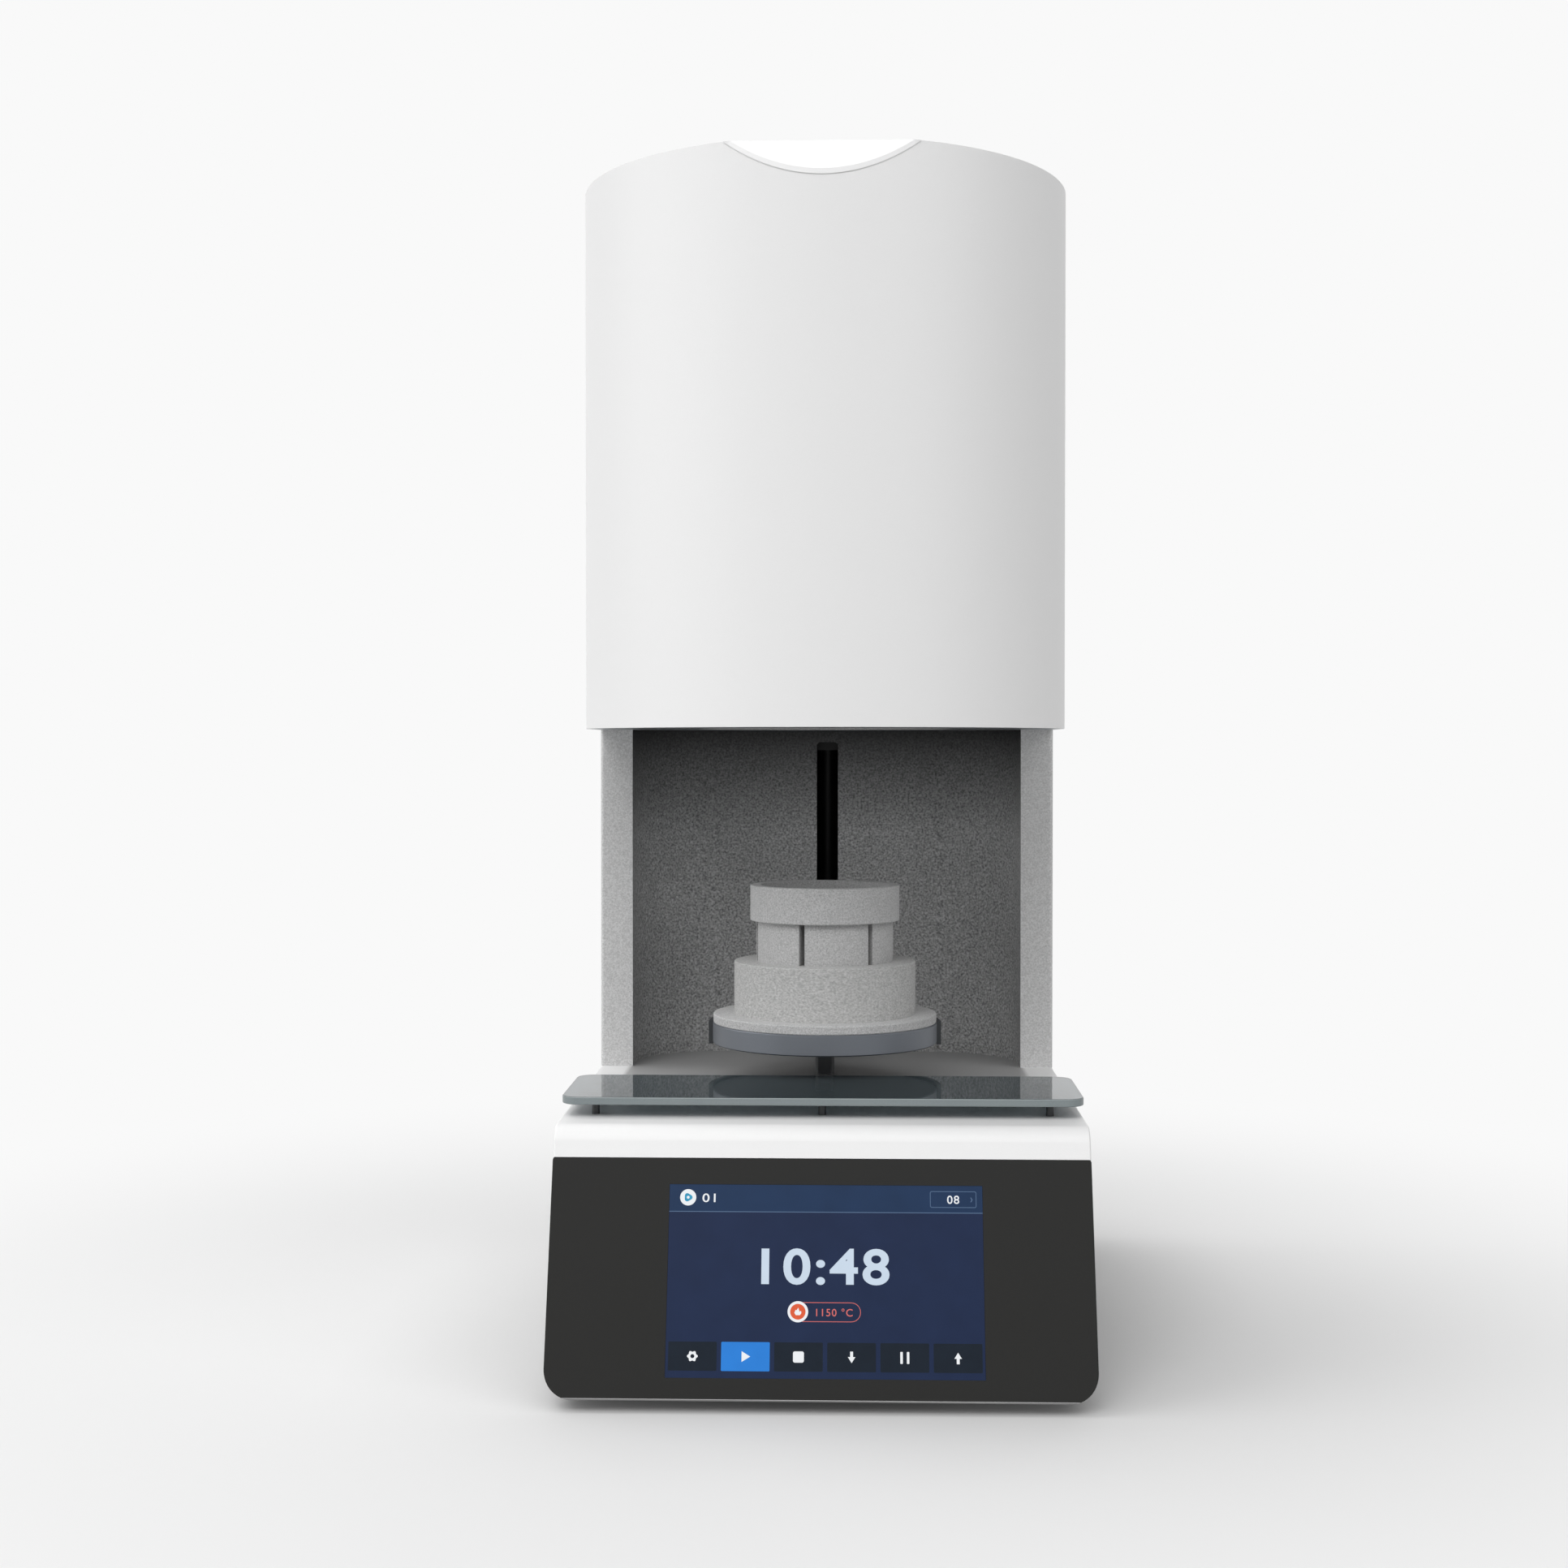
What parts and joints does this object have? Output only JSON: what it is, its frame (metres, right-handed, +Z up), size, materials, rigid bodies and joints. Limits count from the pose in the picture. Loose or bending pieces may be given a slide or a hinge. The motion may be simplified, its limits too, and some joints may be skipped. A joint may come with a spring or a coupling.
{
  "type": "dental lab furnace",
  "caption": "Bench-top dental lab furnace: a firing stage lifts the work into a round heated head; leaning touch panel and glass shelf in front.",
  "frame": {"origin": "middle of the space the furnace takes on the bench, at the underside of its feet", "axes": "+Z up, the control panel faces -Y, +X to the right seen from the front"},
  "size_m": [0.264, 0.384, 0.617],
  "materials": {
    "shell_paint": "white powder coat, satin",
    "bay_paint": "grey powder coat, fine texture",
    "fascia_plastic": "charcoal, satin",
    "screen_glass": "black backed cover glass, matte",
    "shelf_glass": "grey tinted, polished",
    "fibre_board": "white ceramic fibre board",
    "stage_ceramic": "white, unglazed",
    "table_metal": "blue-grey, blasted and anodised",
    "dark_metal": "black, satin",
    "black_steel": "black oxide",
    "bright_steel": "bright",
    "zinc_sheet": "zinc plated sheet",
    "plain_aluminium": "milled",
    "bronze": "turned bronze",
    "element_skin": "dark glassy oxide",
    "foot_rubber": "matte",
    "lead_sleeve": "woven glass sleeve over silicone",
    "black_plastic": "moulded, fine texture",
    "rocker_plastic": "moulded, gloss",
    "circuit_board": "green solder mask",
    "supply_case": "perforated sheet case",
    "motor_black": "black lacquer",
    "toroid_wrap": "film wrapped winding"
  },
  "bodies": {
    "casing": {"base_cover": "shell_paint", "base_pan": "zinc_sheet", "bay_wall": "bay_paint", "can_lid": "zinc_sheet", "casing_screws": "bright_steel", "chamber_roof": "fibre_board", "column_housing": "shell_paint", "controller_board": "circuit_board", "display_board": "circuit_board", "element_clamps": "bright_steel", "element_straps": "plain_aluminium", "fan_frame": "black_plastic", "fan_guard": "bright_steel", "fan_screws": "bright_steel", "fascia": "fascia_plastic", "fuse_holders": "black_plastic", "glass_shelf": "shelf_glass", "guide_rods": "bright_steel", "head_floor": "zinc_sheet", "head_pillars": "bright_steel", "head_shell": "shell_paint", "heating_elements": "element_skin", "heating_leads": "lead_sleeve", "inlet_prongs": "bronze", "insulation_can": "zinc_sheet", "lift_frame": "black_steel", "lift_motor": "motor_black", "limit_switches": "black_plastic", "mains_inlet": "black_plastic", "mouth_ring": "stage_ceramic", "muffle": "fibre_board", "pillar_screws": "bright_steel", "power_relay": "black_plastic", "power_supply": "supply_case", "power_switch": "black_plastic", "rear_cover": "shell_paint", "relay_sink": "plain_aluminium", "rubber_feet": "foot_rubber", "screw_bearing": "bright_steel", "shelf_pins": "dark_metal", "terminal_block": "stage_ceramic", "thermocouple": "stage_ceramic", "top_cover": "shell_paint", "touch_display": "screen_glass", "tower_screws": "bright_steel", "transformer": "toroid_wrap"},
    "lift": {"carriage": "plain_aluminium", "carriage_bushes": "bronze", "lead_nut": "bronze", "lift_arm": "dark_metal", "arm_screws": "bright_steel", "table_cradle": "dark_metal", "lift_table": "table_metal", "stage_flange": "stage_ceramic", "insulation_plug": "fibre_board", "slotted_ring": "stage_ceramic"},
    "dish": {"firing_dish": "stage_ceramic"},
    "screw": {"lead_screw": "black_steel"},
    "fan": {"fan_rotor": "black_plastic"},
    "rocker": {"switch_rocker": "rocker_plastic"}
  },
  "joints": [
    {"name": "lift_slide", "type": "slide", "parent": "casing", "child": "lift", "axis": [0, 0, 1], "range_m": [0, 0.157]},
    {"name": "screw_turn", "type": "hinge", "parent": "casing", "child": "screw", "pos_m": [0, 0.148, 0.10003], "axis": [0, 0, 1], "range_deg": [-5654, 0]},
    {"name": "dish_lift", "type": "slide", "parent": "lift", "child": "dish", "axis": [0, 0, 1], "range_m": [0, 0.03]},
    {"name": "fan_spin", "type": "hinge", "parent": "casing", "child": "fan", "pos_m": [0, 0.1835, 0.56503], "axis": [0, 1, 0], "continuous": true},
    {"name": "rocker_tilt", "type": "hinge", "parent": "casing", "child": "rocker", "pos_m": [-0.082, 0.1832, 0.07], "axis": [1, 0, 0], "range_deg": [-24, 0]}
  ],
  "couplings": [
    {"joint": "screw_turn", "follows": "lift_slide", "rad_per_m": -628.32}
  ]
}
